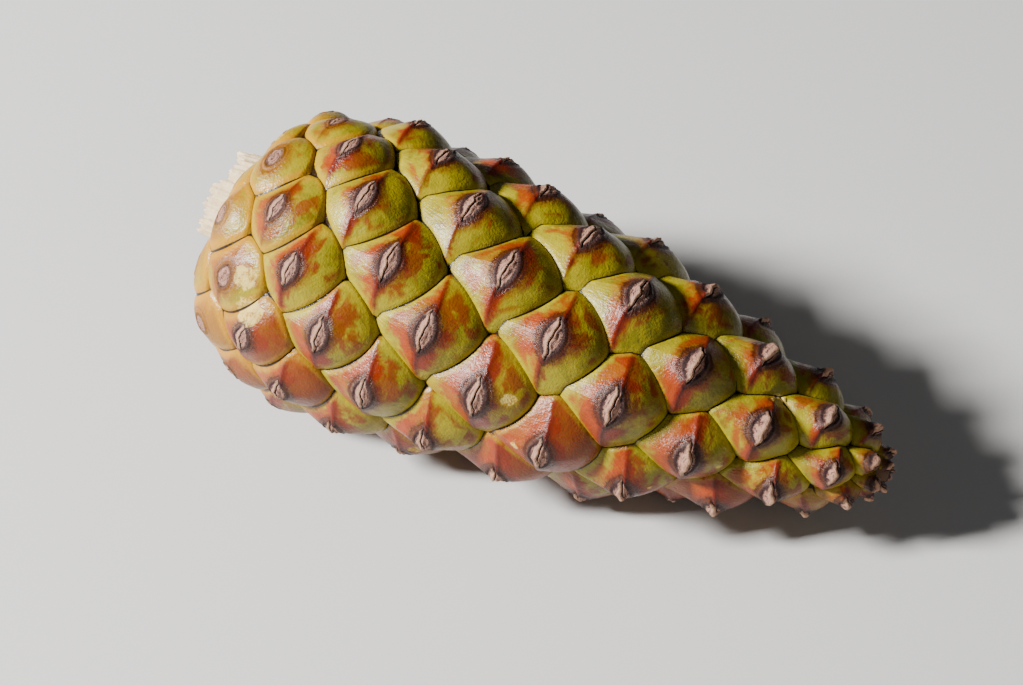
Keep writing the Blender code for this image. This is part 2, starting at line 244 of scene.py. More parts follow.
def scale_height(u, v, keel):
    """Height, 0 to 1: a ridge across the scale times the fall along it, (1 - |v|^side) (1 - fall).

    The fall grows with the way out to the edge, out = |u| / room. On plain scales it is out^dome on both
    sides. On keeled ones it is out^slope towards the stalk, and towards the tip it starts straight and then
    bends over: start * out + (1 - start) * out^power.
    """
    towards_tip = u > 0
    tip_power, base_power = outline_powers(keel)
    outline = np.where(towards_tip, tip_power, base_power)
    room = np.clip(1 - np.abs(v) ** outline, 1e-6, 1) ** (1 / outline)
    out = np.clip(np.abs(u) / room, 0, 1)
    rounded = TIP_START * out + (1 - TIP_START) * out ** TIP_SLOPE_POWER
    keeled = np.where(towards_tip, rounded, out ** BASE_SLOPE_POWER)
    fall = out ** DOME_POWER * (1 - keel) + keeled * keel
    side = DOME_POWER + (KEEL_SIDE_POWER - DOME_POWER) * keel
    return (1 - np.abs(v) ** side) * (1 - fall)


def signed_power(value, power):
    """A power of the size of a number, with the number's own sign."""
    return np.sign(value) * np.abs(value) ** power


AROUND = np.arange(COLUMNS) * 2 * math.pi / COLUMNS
COS, SIN = np.round(np.cos(AROUND), 9), np.round(np.sin(AROUND), 9)
RHO = np.r_[RINGS, [inset for inset, depth in UNDER]]
DEPTH = np.r_[np.zeros(len(RINGS)), [depth for inset, depth in UNDER]]
print("points in a scale", len(RHO) * COLUMNS)

# %% [markdown]
# Neighbouring scales meet in narrow dark grooves. To know where, the height of every neighbour is worked out
# at each point of a scale. Where the two heights are equal the scales meet, so both sink there a little.
# That difference of heights also rides along as a mask, for the painted shade in the groove.

# %% Where the scales meet
NEIGHBOUR_STEPS = (1, 2, 3, 5, 8, 13, 21)
GROOVE_DEPTH = 0.25
GROOVE_REACH = 0.4
FULL_GROOVE_FROM = 2.5


def neighbour_height(rows, where, turn):
    """Highest of the neighbours' forms at points given by distance along and angle, mm."""
    best = np.full(where.shape, -99.0)
    for step in [sign * count for count in NEIGHBOUR_STEPS for sign in (-1, 1)]:
        other = rows + step
        real = ((other >= 0) & (other < len(number)))[:, None, None]
        pick = lambda values: values[np.clip(other, 0, len(number) - 1)][:, None, None]
        u = (where - pick(along)) / pick(cell_reach)
        u = u / np.where(u > 0, TIP_SHARE, BASE_SHARE)
        v = ((turn - pick(angle) + math.pi) % (2 * math.pi) - math.pi) * pick(radius_at(along) / half_width)
        height = pick(high) * (scale_height(u, np.clip(v, -1, 1), pick(keel)) - 1)
        best = np.where(real & (np.abs(v) < 1) & (np.abs(u) < 1.3), np.maximum(best, height), best)
    return best


# %% [markdown]
# The umbo is a small scar left from the first year's growth. In the middle of the cone it is a spindle along
# the ridge: a crescent of dead tissue, a wavy lip on the stalk side, a narrow slit beside it, dark with
# shadow, and a wrinkled hollow. At the stalk end it is a flat oval, and at the tip the lip stands up and
# curls over the slit.

# %% The umbo
EYE_LONG_BY_NUMBER = (
    (-36, 1.6), (-12, 2.1), (0, 2.7), (15, 3.6), (35, 4.1), (60, 3.4), (72, 2.0), (84, 1.0),
)
EYE_SHORT_BY_NUMBER = (
    (-36, 1.1), (-12, 1.5), (0, 1.5), (15, 1.6), (35, 1.85), (60, 1.8), (72, 1.2), (84, 0.6),
)
LIP_BY_NUMBER = (
    (-36, 0.0), (-12, 0.06), (5, 0.22), (30, 0.34), (45, 0.5), (60, 1.0), (72, 0.8), (84, 0.5),
)
HOLLOW_BY_NUMBER = ((-36, 0.04), (-12, 0.08), (5, 0.22), (30, 0.28), (60, 0.5), (84, 0.3))
eye_long, eye_short, lip_height, hollow_depth = [
    np.interp(number, *np.array(table).T)
    for table in (EYE_LONG_BY_NUMBER, EYE_SHORT_BY_NUMBER, LIP_BY_NUMBER, HOLLOW_BY_NUMBER)]
pointed_eye = np.clip((number + 10) / 14, 0, 1)


def umbo_relief(along_mm, across_mm, long, short, lip, hollow, pointed, turn):
    """Height of the eye in mm, how far out a point is in the eye (1 at its edge) and mm past the slit.

    The eye is an oval, x^2 + y^2 = 1, or a spindle, |x| + y^2 = 1, on a low mound. The slit is a wavy line
    from end to end, a narrow furrow between a high lip on the stalk side and a low one on the tip side.
    """
    x, y = along_mm / short, across_mm / long
    eye = np.sqrt(x * x + y * y) * (1 - pointed) + (np.abs(x) + y * y) * pointed
    ends = np.clip(1 - y * y, 0, 1)
    wave = 0.13 * ends * np.sin(4.6 * y + turn) + 0.05 * np.sin(11 * y + 2 * turn)
    crest = (x + 0.05 * ends - wave) * short
    inside = 1 - soft_step(0.86, 1.06, eye)
    wrinkles = 0.05 * np.sin(15 * eye + 3.0 * np.sin(4 * y + turn)) * inside
    mound = 0.45 * pointed * np.exp(-(x / 1.9) ** 2 - (y / 1.25) ** 2)
    ring = 0.10 * np.exp(-((eye - 0.98) / 0.13) ** 2) - 0.10 * np.exp(-((eye - 1.25) / 0.12) ** 2)
    lips = lip * (np.exp(-((crest + 0.34) / 0.42) ** 2) + 0.4 * np.exp(-((crest - 0.42) / 0.26) ** 2))
    furrow = -hollow * np.exp(-((crest - 0.05) / 0.13) ** 2)
    return mound + ring + wrinkles + (lips + furrow) * ends ** 0.5 - 0.08 * inside, eye, crest


# %% [markdown]
# A few scales carry marks of their own: a chafed patch, a drop of dried resin, a corner that something has
# chewed. Each mark is a row: the number of the scale, the place from its middle along and across, the
# radius, and the depth of the dent, in millimetres. A negative depth is a bump.

# %% Marks on single scales
MARKS = (
    (-7, 3.6, -1.8, 3.0, 0.25), (1, -0.5, -5.0, 3.8, 0.12), (43, -4.4, 0.4, 1.2, -0.25),
    (43, 0.2, 0.3, 1.7, -0.1), (35, 5.0, -0.9, 1.9, 0.05), (61, 1.3, -6.6, 2.6, 0.45),
    (56, 5.4, 1.2, 0.9, -0.1), (51, 4.4, -1.4, 0.7, -0.1), (-18, 1.5, 1.0, 1.6, 0.1),
    (20, -2.0, 4.0, 2.2, 0.15), (33, 3.0, 2.0, 1.3, 0.1), (-26, 0.5, 1.5, 1.2, 0.1),
    (12, 4.0, -2.0, 1.5, 0.1), (46, 2.5, 3.0, 1.4, 0.2), (25, 3.0, -3.5, 1.8, 0.15),
    (5, -3.0, 2.5, 1.5, 0.1),
)


def mark_masks(where, turn):
    """Strength of the nearest mark, 0 to 1, and the dent of all of them in mm."""
    strength, dent = np.zeros(where.shape), np.zeros(where.shape)
    for scale, along_mm, across_mm, size, depth in MARKS:
        k = scale - SCALE_FIRST
        dx = where - along[k] - along_mm
        dy = ((turn - angle[k] + math.pi) % (2 * math.pi) - math.pi) * radius_at(along[k]) - across_mm
        near = 1 - soft_step(0.4, 1.0, np.hypot(dx, dy) / size)
        strength, dent = np.maximum(strength, near), dent + depth * near
    return strength, dent


# %% [markdown]
# All of that comes together here. The height of a scale, the groove, the umbo, the sharp rib along the
# ridge and the marks are added up in millimetres, and each sum is a new grid, for many scales at once. The
# numbers that the colours need later, such as the distance from the slit, are kept beside the points.

# %% The points of the scales
RIB_HEIGHT = 0.2
RIB_WIDTH = 0.28
CURL = 1.4
CURL_FROM_LIP = 0.35
KEEL_BEND = 0.06
MOST_GAP = 6.0
MOST_EYE = 6.0
FINE_WAVE = 0.06
BROAD_WAVE = 0.16


def scale_points(rows):
    """Grids of points, shape scales x rings x columns, with one grid of each mask."""
    pick = lambda values: values[rows][:, None, None]
    tip_power, base_power = outline_powers(pick(keel))
    power = np.where(COS > 0, 2 / tip_power, 2 / base_power)
    u = RHO[None, :, None] * signed_power(COS, power)
    v = RHO[None, :, None] * signed_power(SIN, power)
    rho = np.broadcast_to(RHO[None, :, None], u.shape)
    under = np.broadcast_to(DEPTH[None, :, None] > 0, u.shape)
    along_mm = np.where(u > 0, TIP_SHARE, BASE_SHARE) * pick(cell_reach) * u
    across_mm = pick(half_width) * v
    where = pick(along) + along_mm
    turn = pick(angle) + pick(half_width / radius_at(along)) * v

    bent = u + KEEL_BEND * np.sin(math.pi * v) * (1 - rho * rho)
    height = pick(high) * (scale_height(bent, v, pick(keel)) - 1)
    gap = height - neighbour_height(rows, where, turn)
    gap = np.where(under, 0.0, np.minimum(gap, MOST_GAP))
    groove = GROOVE_DEPTH * (1 - soft_step(0.0, GROOVE_REACH, gap))
    height = height - groove * np.minimum(pick(high) / FULL_GROOVE_FROM, 1.0)
    height = np.where(under, -pick(high) - EDGE_SINK - GROOVE_DEPTH - DEPTH[None, :, None],
                      height - EDGE_SINK * soft_step(0.86, 1.0, rho))

    relief, eye, crest = umbo_relief(along_mm, across_mm, pick(eye_long), pick(eye_short), pick(lip_height),
                                     pick(hollow_depth), pick(pointed_eye), 6.0 * pick(tone))
    rib = RIB_HEIGHT * np.exp(-(bent * pick(cell_reach) / RIB_WIDTH) ** 2)
    rib = rib * soft_step(0.9, 1.2, eye) * np.clip(1 - v * v, 0, 1)
    scuff, dent = mark_masks(where, turn)
    outer = ~under & (rho < 0.8)
    height = height + np.where(outer, relief + rib * pick(keel) - dent, 0.0)
    lean = CURL * np.clip(pick(lip_height) - CURL_FROM_LIP, 0, 1) * np.exp(-(crest / 0.5) ** 2)
    where = where + np.where(outer, lean * np.clip(1 - (across_mm / pick(eye_long)) ** 2, 0, 1), 0.0)
    points = place(where, turn, height)
    height = height + FINE_WAVE * unevenness(points, 2.6) + BROAD_WAVE * unevenness(points, 8.0)
    points = place(where, turn, height)

    whole = lambda values: np.broadcast_to(pick(values), u.shape)
    masks = {"along_u": bent, "across_v": v, "eye": np.minimum(eye, MOST_EYE), "crest": crest, "gap": gap,
             "scuff": scuff, "tone": whole(tone), "blush": whole(blush), "pointed": whole(pointed_eye),
             "ripe": whole((number - SCALE_FIRST) / (SCALE_LAST - SCALE_FIRST))}
    return points, masks


# %% [markdown]
# A grid becomes a mesh when each point is joined to its neighbours. The first ring and the last ring are
# single points, so they close with triangles. The masks ride along as attributes, which the materials
# read later, so that the colour follows the form however the cone is turned.

# %% From grids to meshes
def grid_faces(rows, columns, turned=False):
    """Triangles at both poles and quads between, for a grid whose columns close on themselves.

    Seen from the first pole towards the last, the columns run anticlockwise, and the faces point outwards. A
    turned grid has its columns clockwise, so the corners of its faces are taken in reverse.
    """
    nxt = (np.arange(columns) + 1) % columns
    here = np.arange(columns)
    ring = lambda k: 1 + k * columns
    rings = rows - 2
    top = np.stack([np.zeros(columns, int), ring(0) + here, ring(0) + nxt], 1)
    low = (1 + np.arange(rings - 1) * columns)[:, None]
    quads = np.stack([low + here, low + columns + here, low + columns + nxt, low + nxt], -1)
    quads = quads.reshape(-1, 4)
    last = 1 + rings * columns
    end = np.stack([ring(rings - 1) + here, np.full(columns, last), ring(rings - 1) + nxt], 1)
    triangles = np.vstack([top, end])
    if turned:
        triangles, quads = triangles[:, ::-1], quads[:, [0, 3, 2, 1]]
    return triangles, quads


def flatten_grid(grid):
    """Keep one point of each pole ring: rings x columns (x 3) becomes one list of points."""
    body = grid[:, 1:-1].reshape((grid.shape[0], -1) + grid.shape[3:])
    return np.concatenate([grid[:, 0, :1], body, grid[:, -1, :1]], axis=1)


def build_mesh(name, points, triangles, quads, masks, material):
    """One object from arrays of points and faces, with each mask as a point attribute."""
    mesh = bpy.data.meshes.new(name)
    corners = np.concatenate([triangles.ravel(), quads.ravel()])
    sizes = np.r_[np.full(len(triangles), 3), np.full(len(quads), 4)]
    mesh.vertices.add(len(points))
    mesh.loops.add(len(corners))
    mesh.polygons.add(len(sizes))
    mesh.vertices.foreach_set("co", points.astype(np.float32).ravel())
    mesh.loops.foreach_set("vertex_index", corners.astype(np.int32))
    mesh.polygons.foreach_set("loop_start", np.r_[0, np.cumsum(sizes)[:-1]].astype(np.int32))
    mesh.update(calc_edges=True)
    for key, values in masks.items():
        layer = mesh.attributes.new(key, "FLOAT", "POINT")
        layer.data.foreach_set("value", np.ascontiguousarray(values, dtype=np.float32).ravel())
    mesh.polygons.foreach_set("use_smooth", np.ones(len(sizes), bool))
    mesh.validate()
    mesh.materials.append(material)
    piece = bpy.data.objects.new(name, mesh)
    bpy.context.scene.collection.objects.link(piece)
    return piece


# %% [markdown]
# Materials are built from nodes. A few short helpers keep the wiring readable: one makes a node and plugs
# values or links into it, the others name the sums, steps and mixes that come up again and again.

# %% Node helpers
class Wiring:
    """A node tree with short calls for the nodes that this lesson uses."""

    def __init__(self, tree):
        self.tree = tree

    def node(self, kind, inputs=(), **settings):
        made = self.tree.nodes.new(kind)
        for key, value in settings.items():
            setattr(made, key, value)
        for key, value in dict(inputs).items():
            self.plug(made.inputs[key], value)
        return made

    def plug(self, socket, value):
        if isinstance(value, bpy.types.NodeSocket):
            self.tree.links.new(value, socket)
        elif isinstance(value, tuple) and len(value) == 3 and socket.type == "RGBA":
            socket.default_value = (*value, 1.0)
        else:
            socket.default_value = value

    def math(self, operation, a, b=0.0):
        return self.node("ShaderNodeMath", {0: a, 1: b}, operation=operation).outputs[0]

    def times(self, a, b):
        return self.math("MULTIPLY", a, b)

    def plus(self, a, b):
        return self.math("ADD", a, b)

    def minus(self, a, b):
        return self.math("SUBTRACT", a, b)

    def larger(self, a, b):
        return self.math("MAXIMUM", a, b)

    def vector(self, x, y, z):
        return self.node("ShaderNodeCombineXYZ", {0: x, 1: y, 2: z}).outputs[0]

    def mask(self, name):
        return self.node("ShaderNodeAttribute", attribute_name=name, attribute_type="GEOMETRY").outputs["Fac"]

    def noise(self, vector, scale, detail=3.0, rough=0.55, twist=0.0):
        return self.node("ShaderNodeTexNoise", {"Vector": vector, "Scale": scale, "Detail": detail,
                                                "Roughness": rough, "Distortion": twist}).outputs["Fac"]

    def step(self, value, low, high_edge, to_low=0.0, to_high=1.0):
        """Smooth S from one value to another as the input goes from low to high."""
        made = self.node("ShaderNodeMapRange", {"Value": value, "From Min": low, "From Max": high_edge,
                                                "To Min": to_low, "To Max": to_high})
        made.interpolation_type = "SMOOTHSTEP"
        return made.outputs[0]

    def mix(self, amount, first, second):
        made = self.node("ShaderNodeMix", data_type="RGBA")
        self.plug(made.inputs[0], amount)
        self.plug(made.inputs[6], first)
        self.plug(made.inputs[7], second)
        return made.outputs[2]


def new_group(name, inputs, outputs):
    """An empty shader group with named inputs (name, kind, default) and outputs (name, kind)."""
    tree = bpy.data.node_groups.new(name, "ShaderNodeTree")
    for label, kind, default in inputs:
        socket = tree.interface.new_socket(label, in_out="INPUT", socket_type=kind)
        if default is not None:
            socket.default_value = default
    for label, kind in outputs:
        tree.interface.new_socket(label, in_out="OUTPUT", socket_type=kind)
    wiring = Wiring(tree)
    return tree, wiring, wiring.node("NodeGroupInput").outputs, wiring.node("NodeGroupOutput").inputs


def new_material(name):
    material = bpy.data.materials.new(name)
    material.use_nodes = True
    wiring = Wiring(material.node_tree)
    return material, wiring, material.node_tree.nodes["Principled BSDF"]


# %% [markdown]
# Two effects serve every surface of the cone. The first is plant grain: fine pimples and pits at two sizes.
# The second is blotching: large soft patches that shift a colour a little, as on any fruit or wood.

# %% Shared groups
FLOAT, VECTOR = "NodeSocketFloat", "NodeSocketVector"
grain_group, w, given, put = new_group(
    "plant_grain", (("Vector", VECTOR, None), ("Fine", FLOAT, 2600.0), ("Coarse", FLOAT, 700.0)),
    (("Height", FLOAT),))
fine = w.noise(given["Vector"], given["Fine"], 2.0, 0.6)
coarse = w.noise(given["Vector"], given["Coarse"], 3.0, 0.6, 0.4)
w.plug(put["Height"], w.plus(w.times(fine, 0.45), w.times(coarse, 0.55)))

blotch_group, w, given, put = new_group(
    "blotches",
    (("Vector", VECTOR, None), ("Size", FLOAT, 120.0), ("Low", FLOAT, 0.4), ("High", FLOAT, 0.65)),
    (("Amount", FLOAT),))
patch = w.noise(given["Vector"], given["Size"], 4.0, 0.6, 0.6)
spread = w.node("ShaderNodeMapRange", {"Value": patch, "From Min": given["Low"], "From Max": given["High"]})
spread.interpolation_type = "SMOOTHSTEP"
w.plug(put["Amount"], spread.outputs[0])


def use_group(wiring, tree, **inputs):
    made = wiring.node("ShaderNodeGroup")
    made.node_tree = tree
    for key, value in inputs.items():
        wiring.plug(made.inputs[key], value)
    return made.outputs[0]


# %% [markdown]
# The skin of an unripe scale is waxy and olive green. It turns rust red round the umbo, along the ridge
# and over the rounded side, more on some scales than on others, and at the stalk end it is orange with a
# painted golden highlight along the edge. The umbo itself is dead tissue: a purple-brown ring, a pale lip
# and a slit painted black as the shadow under the lip. The colours stand together here, so that a riper or
# a greener cone is a matter of a few values.

# %% The colours of the skin
GREEN_LIGHT = (0.23, 0.192, 0.003)
GREEN_DARK = (0.080, 0.073, 0.002)
YELLOW = (0.38, 0.290, 0.006)
ORANGE = (0.34, 0.180, 0.001)
GOLD_HIGHLIGHT = (0.40, 0.175, 0.001)
SALMON_PAINTED_LIT = (0.25, 0.026, 0.001)
RUST = (0.18, 0.011, 0.001)
RUST_DARK = (0.038, 0.002, 0.001)
PAINTED_SHEEN = (0.50, 0.42, 0.15)
RING_BROWN = (0.018, 0.003, 0.003)
TISSUE = (0.34, 0.170, 0.115)
TISSUE_CREVICE_SHADE = (0.040, 0.013, 0.010)
LIP_TAN = (0.46, 0.25, 0.15)
SLIT_SHADOW_BLACK = (0.004, 0.002, 0.002)
GROOVE_SHADE = (0.014, 0.006, 0.002)
CHAFED = (0.60, 0.44, 0.11)
print("greens", GREEN_LIGHT, GREEN_DARK)

# %% [markdown]
# The ground of the skin is green, in large and small blotches. Each mask that came with the points is read
# here by its name, so the pattern follows the scale: along_u runs from stalk to tip, across_v from side to
# side, and eye counts from the middle of the umbo, with 1 at its edge.

# %% The green ground
BLOTCH_SIZE = 110.0
SMALL_BLOTCH_SIZE = 420.0
FRAY_SIZE = 600.0
DARK_SHARE = 0.8
YELLOW_SHARE = 0.35
skin, w, shader = new_material("scale_skin")
place_3d = w.node("ShaderNodeTexCoord").outputs["Object"]
m_u, m_v, m_eye, m_crest = w.mask("along_u"), w.mask("across_v"), w.mask("eye"), w.mask("crest")
m_gap, m_scuff, m_tone = w.mask("gap"), w.mask("scuff"), w.mask("tone")
m_blush, m_pointed, m_ripe = w.mask("blush"), w.mask("pointed"), w.mask("ripe")
blotch = use_group(w, blotch_group, Vector=place_3d, Size=BLOTCH_SIZE, Low=0.38, High=0.62)
small_blotch = use_group(w, blotch_group, Vector=place_3d, Size=SMALL_BLOTCH_SIZE, Low=0.35, High=0.68)
fray = w.noise(place_3d, FRAY_SIZE, 5.0, 0.72, 0.6)
round_eye = w.math("ARCTAN2", m_u, m_v)
streak_in = w.vector(w.times(round_eye, 7.0), w.times(m_eye, 1.2), w.times(m_tone, 40.0))
streak = w.noise(streak_in, 1.6, 4.0, 0.65)

green = w.mix(w.times(blotch, DARK_SHARE), GREEN_LIGHT, GREEN_DARK)
green = w.mix(w.times(small_blotch, YELLOW_SHARE), green, YELLOW)
stalk_end = w.step(m_ripe, 0.24, 0.02)
green = w.mix(w.times(stalk_end, w.step(fray, 0.2, 0.6, 0.40, 0.85)), green, ORANGE)
print("nodes for the ground", len(skin.node_tree.nodes))

# %% [markdown]
# The red lies in a spindle along the ridge, with a frayed edge, and in loose patches on the rounded side.
# On one side of the cone some scales are red nearly all over. Near the umbo the red is deep and dark. On
# the side towards the stalk, which faces the light, the red is painted lighter, and on the side towards the
# tip it is painted darker, as painted light and shade. At the stalk end of the cone it pales to orange.

# %% The red blush
RED_EDGE = (0.36, -0.02)
RED_ROUND_EYE = (3.8, 2.2)
RED_SHARE = 0.95
PATCH_SHARE = 0.85
RED_ALL_SHARE = 0.92
ORANGE_SHARE = 0.65
off_keel, off_middle = w.math("ABSOLUTE", m_u), w.math("ABSOLUTE", m_v)
spindle = w.math("DIVIDE", off_keel, w.minus(1.02, w.times(off_middle, 0.86)))
ragged = w.plus(w.times(fray, 0.5), w.times(blotch, -0.34))
ragged = w.plus(ragged, w.times(m_blush, -0.5))
warm_edge = w.plus(w.plus(spindle, ragged), w.times(off_middle, 0.22))
warm = w.step(warm_edge, *RED_EDGE)
warm = w.larger(warm, w.step(w.plus(m_eye, w.times(fray, 2.0)), *RED_ROUND_EYE))
patch_in = w.vector(w.times(m_u, 1.5), w.times(m_v, 1.3), w.times(m_tone, 37.0))
patch = w.noise(patch_in, 1.6, 3.0, 0.55, 0.5)
patch = w.step(w.plus(patch, w.times(m_blush, 0.22)), 0.60, 0.72)
patch = w.times(patch, w.times(w.step(m_gap, 0.5, 1.6), w.step(m_ripe, 0.0, 0.3, 0.5, 1.0)))
warm = w.larger(warm, w.times(patch, PATCH_SHARE))
ripe_all = w.step(w.plus(m_blush, w.times(fray, 0.25)), 0.86, 1.08)
warm = w.larger(warm, w.times(ripe_all, RED_ALL_SHARE))
deep_red_and_tip_shade = w.step(w.plus(spindle, w.times(fray, 0.3)), 0.30, 0.14)
deep_red_and_tip_shade = w.larger(w.times(deep_red_and_tip_shade, 0.4), w.times(small_blotch, 0.3))
# painted shade: the red darkens on the side towards the tip
deep_red_and_tip_shade = w.larger(deep_red_and_tip_shade, w.times(w.step(m_u, -0.03, 0.03), 0.15))
# painted light and shade: salmon on the lit side towards the stalk, rust on the shaded side towards the tip
red = w.mix(deep_red_and_tip_shade, w.mix(w.step(m_u, 0.02, -0.1), RUST, SALMON_PAINTED_LIT), RUST_DARK)
halo = w.step(w.plus(m_eye, w.times(w.plus(streak, fray), 0.9)), 3.2, 1.9)
red = w.mix(w.times(halo, w.step(m_pointed, 0.0, 0.8, 0.25, 1.0)), red, RUST_DARK)
red = w.mix(w.times(w.step(m_ripe, 0.32, 0.10), ORANGE_SHARE), red, ORANGE)
colour = w.mix(w.times(warm, RED_SHARE), green, red)
print("nodes with the blush", len(skin.node_tree.nodes))

# %% [markdown]
# Fine things come next: a thin dark line on the ridge, a pale sheen painted in a fan of creases on the side
# towards the stalk as a painted highlight, a painted highlight along the rims of the grooves, and the
# chafed patches of the marks.

# %% Ridge, painted sheen, painted rim highlights and chafed patches
KEEL_LINE = (0.075, 0.030)
KEEL_LINE_SHARE = 0.7
KEEL_SHADE_SHARE = 0.35
FAN_ROOT = 1.12
FAN_CREASES = 16.0
PAINTED_SHEEN_SHARE = 0.14
RIM_HIGHLIGHT_REACH = (1.0, 0.35)
RIM_HIGHLIGHT_SHARE = 0.4
GOLD_HIGHLIGHT_REACH = (1.3, 0.4)
GOLD_HIGHLIGHT_SHARE = 0.8
WORN_SIZE = 700.0
CHAFED_SHARE = 0.8
thin_keel = w.times(w.step(w.plus(off_keel, w.times(fray, 0.03)), *KEEL_LINE),
                    w.step(w.plus(off_middle, w.times(fray, 0.5)), 1.15, 0.75))
keel_shade = w.times(w.step(m_u, 0.13, 0.03), w.step(m_u, -0.01, 0.02))
keel_shade = w.times(keel_shade, w.step(off_middle, 1.0, 0.4))
colour = w.mix(w.times(w.times(keel_shade, m_pointed), KEEL_SHADE_SHARE), colour, RUST_DARK)
thin_keel = w.times(thin_keel, m_pointed)
colour = w.mix(w.times(thin_keel, KEEL_LINE_SHARE), colour, w.mix(fray, RUST_DARK, RUST))

fan_angle = w.math("ARCTAN2", m_v, w.plus(m_u, FAN_ROOT))
fan_in = w.vector(w.times(fan_angle, FAN_CREASES), w.times(m_u, 1.3), w.times(m_tone, 30.0))
fan = w.noise(fan_in, 2.2, 3.0, 0.6)
# painted highlight: a pale sheen in a fan of creases on the side towards the stalk
painted_sheen = w.times(w.step(m_u, -0.1, -0.5), w.step(fan, 0.45, 0.8))
colour = w.mix(w.times(painted_sheen, PAINTED_SHEEN_SHARE), colour, PAINTED_SHEEN)
# painted highlight: a lighter rim where a scale stands just clear of its neighbour
rim_highlight = w.times(w.step(m_gap, *RIM_HIGHLIGHT_REACH), w.step(fray, 0.3, 0.6))
colour = w.mix(w.times(rim_highlight, RIM_HIGHLIGHT_SHARE), colour, YELLOW)

# painted highlight: a golden edge along the rims at the stalk end
gold_highlight = w.times(w.step(m_gap, *GOLD_HIGHLIGHT_REACH), w.step(m_ripe, 0.45, 0.15))
colour = w.mix(w.times(gold_highlight, GOLD_HIGHLIGHT_SHARE), colour, GOLD_HIGHLIGHT)
worn = w.noise(place_3d, WORN_SIZE, 5.0, 0.65, 0.3)
chafe = w.step(w.plus(w.times(m_scuff, 0.55), worn), 0.80, 0.98)
chafe = w.times(chafe, w.step(m_scuff, 0.0, 0.25))
colour = w.mix(w.times(chafe, CHAFED_SHARE), colour, w.mix(w.step(fray, 0.48, 0.60), CHAFED, ORANGE))
print("nodes with the fine marks", len(skin.node_tree.nodes))

# %% [markdown]
# The umbo is painted last, over the skin. Its tissue is in thin layers round the middle, with painted shade
# in the crevices between them, its edge is a ragged brown ring with a fainter one outside, and the lip and
# the slit follow the crest mask, which says how far a point is from the slit in millimetres. The slit is
# painted black as the shadow under the lip.

# %% The umbo and the painted shade in the grooves
EYE_EDGE = (1.50, 1.36)
RING_FROM, RING_TO = (1.20, 1.36), (1.84, 1.52)
OUTER_RING_FROM, OUTER_RING_TO = (1.90, 2.0), (2.25, 2.1)
OUTER_RING_SHARE = 0.6
RING_SHARE = 0.92
LIP_FROM, LIP_TO = (-0.50, -0.15), (0.10, 0.04)
LIP_SHARE = 0.85
SLIT_SHADOW_FROM, SLIT_SHADOW_TO = (0.07, 0.13), (0.36, 0.24)
GROOVE_SHADE_WIDTH = (0.13, 0.02)
layer_in = w.vector(w.times(m_eye, 7.0), w.times(round_eye, 0.9), w.times(m_tone, 50.0))
layers = w.noise(layer_in, 1.3, 4.0, 0.7, 0.4)
# painted shade: the layers go dark where the bump sinks between them
tissue = w.mix(w.step(layers, 0.50, 0.60), TISSUE, TISSUE_CREVICE_SHADE)
ring_edge = w.plus(m_eye, w.times(w.plus(streak, fray), 0.6))
ring_share = w.step(m_pointed, 0.0, 0.8, 0.55, 1.0)
eye_mask = w.step(ring_edge, *EYE_EDGE)
ring = w.times(w.step(ring_edge, *RING_FROM), w.step(ring_edge, *RING_TO))
outer_ring = w.times(w.step(ring_edge, *OUTER_RING_FROM), w.step(ring_edge, *OUTER_RING_TO))
colour = w.mix(eye_mask, colour, tissue)
rings = w.times(w.larger(ring, w.times(outer_ring, OUTER_RING_SHARE)), ring_share)
colour = w.mix(w.times(rings, RING_SHARE), colour, RING_BROWN)
in_eye = w.step(m_eye, 1.06, 0.9)
crest_wave = w.plus(m_crest, w.times(fray, 0.3))
lip_line = w.times(w.step(crest_wave, *LIP_FROM), w.step(crest_wave, *LIP_TO))
lip_line = w.times(w.times(lip_line, in_eye), w.step(m_pointed, 0.15, 0.6))
colour = w.mix(w.times(lip_line, LIP_SHARE), colour, LIP_TAN)
# painted shadow: the slit is painted black as the shade under the lip
slit = w.times(w.step(crest_wave, *SLIT_SHADOW_FROM), w.step(crest_wave, *SLIT_SHADOW_TO))
slit = w.times(w.times(slit, in_eye), w.step(m_pointed, 0.1, 0.5))
colour = w.mix(slit, colour, SLIT_SHADOW_BLACK)
# painted shade: a near-black line where neighbouring scales meet
colour = w.mix(w.step(m_gap, *GROOVE_SHADE_WIDTH), colour, GROOVE_SHADE)
w.plug(shader.inputs["Base Color"], colour)
print("nodes in the colour", len(skin.node_tree.nodes))

# %% [markdown]
# Living skin has a satin sheen, and dead tissue is dull, so the roughness rises in the umbo, its ring and
# the chafed patches. Grain, creases and layers are too fine for the mesh and go into a bump.

# %% The sheen and the fine relief
SHEEN = (0.27, 0.40)
DULLER = 0.32
SPECULAR = 0.3
FINE_RELIEF = 0.0004
GRAIN_SHARE, FOLD_SHARE, ROUND_FOLD_SHARE, LAYER_SHARE = 0.8, 0.6, 0.9, 1.2
dry = w.larger(eye_mask, w.larger(ring, chafe))
gloss = w.step(w.noise(place_3d, 900.0, 2.0), 0.3, 0.7, *SHEEN)
w.plug(shader.inputs["Roughness"], w.plus(gloss, w.times(dry, DULLER)))
shader.inputs["Specular IOR Level"].default_value = SPECULAR
grain = use_group(w, grain_group, Vector=place_3d, Fine=2600.0, Coarse=800.0)
folds = w.times(fan, w.step(m_u, 0.0, -0.35, 0.0, 0.6))
round_folds = w.times(streak, w.step(m_eye, 2.6, 1.0))
relief = w.plus(w.times(grain, GRAIN_SHARE), w.times(folds, FOLD_SHARE))
relief = w.plus(relief, w.times(round_folds, ROUND_FOLD_SHARE))
relief = w.minus(relief, w.times(w.times(layers, eye_mask), LAYER_SHARE))
bump = w.node("ShaderNodeBump", {"Strength": 0.6, "Distance": FINE_RELIEF, "Height": relief})
w.plug(shader.inputs["Normal"], bump.outputs[0])
print("nodes in the skin", len(skin.node_tree.nodes))

